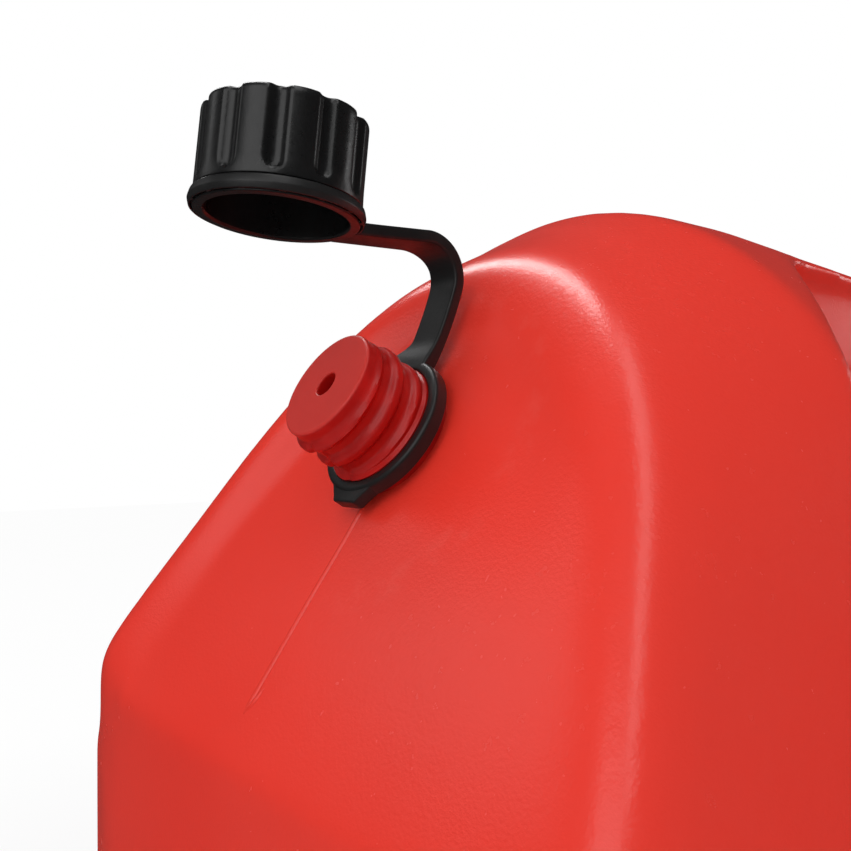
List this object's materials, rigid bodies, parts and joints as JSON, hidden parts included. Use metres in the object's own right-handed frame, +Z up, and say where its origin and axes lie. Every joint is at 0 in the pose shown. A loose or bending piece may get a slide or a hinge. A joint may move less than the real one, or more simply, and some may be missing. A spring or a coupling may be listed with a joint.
{
  "type": "gas can",
  "caption": "Upright moulded fuel can with an integral carry handle, a sloping vent face with a tethered screw vent cap, and a capped pouring spout on a threaded neck.",
  "frame": {"origin": "centre of the flat base", "axes": "+X from the vent end to the spout end, +Y across the can, +Z up"},
  "size_m": [0.304, 0.142, 0.309],
  "materials": {
    "tank_red": "satin moulded polyethylene with a fine grain",
    "tether_black": "satin flexible polyethylene",
    "cap_black": "satin moulded plastic",
    "spout_black": "satin moulded plastic",
    "seal_rubber": "matt soft rubber"
  },
  "bodies": {
    "can": {"tank_lower": "tank_red", "vent_shoulder": "tank_red", "carry_grip": "tank_red", "filler_shoulder": "tank_red", "vent_stud": "tank_red", "filler_neck": "tank_red"},
    "tether_ring": {"tether_neck_ring": "tether_black"},
    "tether_upper": {"tether_arm": "tether_black"},
    "vent_cap": {"vent_cap": "cap_black", "vent_cap_seal": "seal_rubber"},
    "spout": {"filler_spout": "spout_black", "neck_gasket": "seal_rubber", "spout_strainer": "tether_black"},
    "collar": {"spout_collar": "cap_black"},
    "tip_cap": {"spout_tip_cap": "cap_black", "tip_cap_seal": "seal_rubber"}
  },
  "joints": [
    {"name": "tether_swivel", "type": "hinge", "parent": "can", "child": "tether_ring", "pos_m": [-0.12, 0, 0.2025], "axis": [-0.8572, 0, 0.515], "continuous": true},
    {"name": "tether_flex", "type": "hinge", "parent": "tether_ring", "child": "tether_upper", "pos_m": [-0.11231, 0, 0.23209], "axis": [0, 1, 0], "range_deg": [-25, 40], "stiffness_Nm_per_rad": 0.015},
    {"name": "vent_cap_spin", "type": "hinge", "parent": "tether_upper", "child": "vent_cap", "pos_m": [-0.1424, 0, 0.23316], "axis": [0.1045, 0, 0.9945], "continuous": true},
    {"name": "spout_draw", "type": "slide", "parent": "can", "child": "spout", "axis": [0, 0, 1], "range_m": [0, 0.06]},
    {"name": "collar_turn", "type": "hinge", "parent": "spout", "child": "collar", "pos_m": [0.12, 0, 0.212], "axis": [0, 0, 1], "continuous": true},
    {"name": "tip_cap_pull", "type": "slide", "parent": "spout", "child": "tip_cap", "axis": [0, 0, 1], "range_m": [0, 0.03]}
  ]
}
